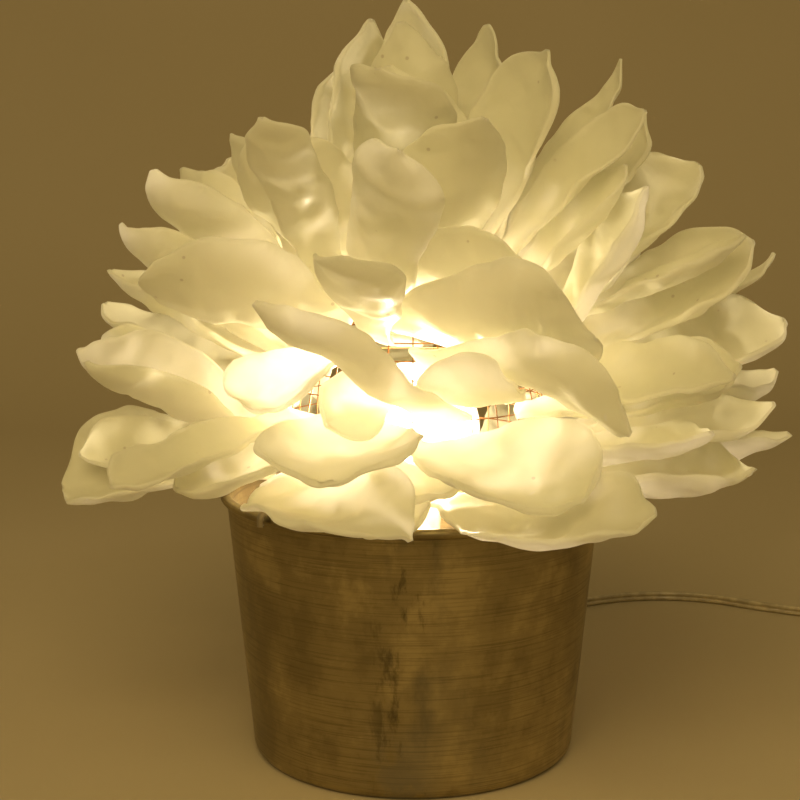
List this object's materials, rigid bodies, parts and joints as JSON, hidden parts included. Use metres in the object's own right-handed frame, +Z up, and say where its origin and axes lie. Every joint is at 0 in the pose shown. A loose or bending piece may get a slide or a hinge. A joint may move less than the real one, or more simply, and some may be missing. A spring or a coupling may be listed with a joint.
{
  "type": "table lamp",
  "caption": "Table lamp: a dome of overlapping frosted petals bonded to a wire-mesh egg round a bulb, hooked over the rim of a tapered spun-metal pot.",
  "frame": {"origin": "centre of the pot's flat bottom, on the floor", "axes": "+Z up along the pot's axis, -Y towards the front view, +X to the right seen from the front"},
  "size_m": [0.4605, 0.3828, 0.3334],
  "materials": {
    "pot_metal": "spun metal, fine lines round it, tarnished olive-bronze with a few dark runs",
    "petal_resin": "frosted translucent cast resin, glowing where the bulb lights it",
    "copper_mesh": "woven copper wire",
    "frame_wire": "copper-coated steel wire",
    "cord_clear": "clear gold flat twin cord",
    "cord_rubber": "black rubber",
    "ballast_iron": "as cast",
    "zinc_steel": "zinc plated",
    "holder_brass": "plain brass",
    "liner_card": "dark insulating sleeve",
    "porcelain": "glazed porcelain",
    "screw_shell_metal": "pressed plated metal",
    "bulb_glass": "clear warm glass",
    "bulb_cap_metal": "rolled aluminium",
    "bulb_insulator": "black glass",
    "solder": "solder",
    "stem_glass": "clear glass",
    "support_wire": "drawn wire",
    "filament": "glowing thread",
    "tie_plastic": "black strap",
    "switch_shell": "moulded gold-brown plastic",
    "switch_wheel": "dark ribbed wheel",
    "plug_plastic": "moulded gold-brown plastic",
    "blade_brass": "plain brass"
  },
  "bodies": {
    "base": {"pot": "pot_metal", "cord_relief": "cord_rubber", "ballast": "ballast_iron", "lower_nut": "zinc_steel", "upper_nut": "zinc_steel", "cap_nut": "zinc_steel", "lamp_pipe": "zinc_steel", "holder_cap": "holder_brass", "holder_shell": "holder_brass", "holder_liner": "liner_card", "holder_core": "porcelain", "terminal_screws": "holder_brass", "centre_contact": "holder_brass", "screw_shell": "screw_shell_metal", "inner_lead": "cord_clear", "cord_lead": "cord_clear", "cord_coil": "cord_clear", "coil_tie": "tie_plastic", "switch_lower": "switch_shell", "switch_upper": "switch_shell", "switch_screws": "zinc_steel", "plug_tail": "plug_plastic", "plug_body": "plug_plastic", "plug_blades": "blade_brass"},
    "bulb": {"bulb_globe": "bulb_glass", "bulb_cap": "bulb_cap_metal", "bulb_insulator": "bulb_insulator", "bulb_tip": "solder", "bulb_stem": "stem_glass", "bulb_supports": "support_wire", "bulb_filament": "filament"},
    "shade": {"mesh_dome": "copper_mesh", "base_ring": "frame_wire", "rim_arms": "frame_wire", "petals_left": "petal_resin", "petals_front": "petal_resin", "petals_heart": "petal_resin", "petals_right": "petal_resin", "petals_crown": "petal_resin", "petals_inner_left": "petal_resin", "petals_inner_right": "petal_resin", "petals_back_low": "petal_resin", "petals_back_high": "petal_resin"},
    "wheel": {"switch_wheel": "switch_wheel"}
  },
  "joints": [
    {"name": "shade_lift", "type": "slide", "parent": "base", "child": "shade", "axis": [0, 0, 1], "range_m": [0, 0.16]},
    {"name": "bulb_turn", "type": "hinge", "parent": "base", "child": "bulb", "pos_m": [0, 0, 0.084], "axis": [0, 0, 1], "range_deg": [0, 1800]},
    {"name": "switch_turn", "type": "hinge", "parent": "base", "child": "wheel", "pos_m": [0.295, 0.093, 0.00675], "axis": [0, 0, 1], "continuous": true}
  ]
}
